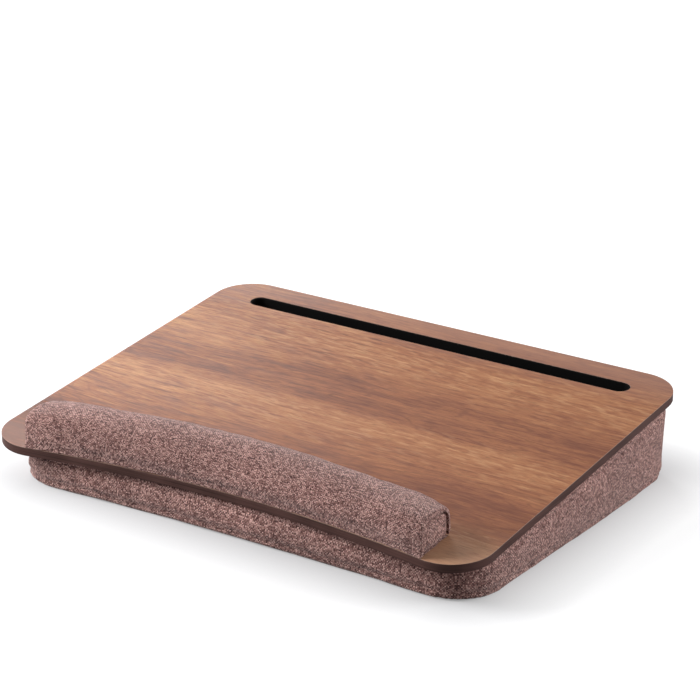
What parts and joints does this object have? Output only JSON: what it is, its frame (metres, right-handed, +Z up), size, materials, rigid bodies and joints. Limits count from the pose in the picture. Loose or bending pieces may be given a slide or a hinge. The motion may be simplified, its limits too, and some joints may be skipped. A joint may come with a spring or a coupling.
{
  "type": "lap desk",
  "caption": "Lap desk: walnut-look board with a hollow front edge, padded wrist rest, device slot with a moulded liner, and a zipped fabric wedge cushion below.",
  "frame": {"origin": "centre of the footprint of the whole part, at the level that it rests on", "axes": "+X to the user's right along the board's width, +Y away from the user towards the slot, +Z up"},
  "size_m": [0.4301, 0.3585, 0.0746],
  "materials": {
    "fibreboard": "satin",
    "edge_band": "satin",
    "walnut_laminate": "satin",
    "back_laminate": "matte",
    "black_plastic": "matte",
    "adhesive": "matte",
    "foam": "matte",
    "linen_weave": "matte",
    "zip_tape": "matte",
    "zip_teeth": "satin",
    "zip_metal": "satin"
  },
  "bodies": {
    "desk": {"board_core": "fibreboard", "board_edge_band": "edge_band", "board_top_laminate": "walnut_laminate", "board_back_laminate": "back_laminate", "slot_liner": "black_plastic", "wrist_rest_adhesive": "adhesive", "wrist_rest_base": "fibreboard", "wrist_rest_foam": "foam", "wrist_rest_cover": "linen_weave", "wrist_rest_left_end": "linen_weave", "wrist_rest_right_end": "linen_weave", "cushion_adhesive": "adhesive", "cushion_top_panel": "linen_weave", "cushion_side_band": "linen_weave", "cushion_back_upper": "linen_weave", "cushion_back_lower": "linen_weave", "cushion_bottom_panel": "linen_weave", "cushion_foam": "foam", "zip_tape_upper": "zip_tape", "zip_tape_lower": "zip_tape", "zip_teeth_upper": "zip_teeth", "zip_teeth_lower": "zip_teeth", "zip_end_stops": "zip_metal"},
    "slider": {"zip_slider": "zip_metal"},
    "pull": {"zip_pull": "zip_metal"}
  },
  "joints": [
    {"name": "zip_slide", "type": "slide", "parent": "desk", "child": "slider", "axis": [-1, 0, 0], "range_m": [0, 0.2894]},
    {"name": "pull_swing", "type": "hinge", "parent": "slider", "child": "pull", "pos_m": [0.1507, 0.17753, 0.032], "axis": [0, 0, -1], "range_deg": [0, 180]}
  ]
}
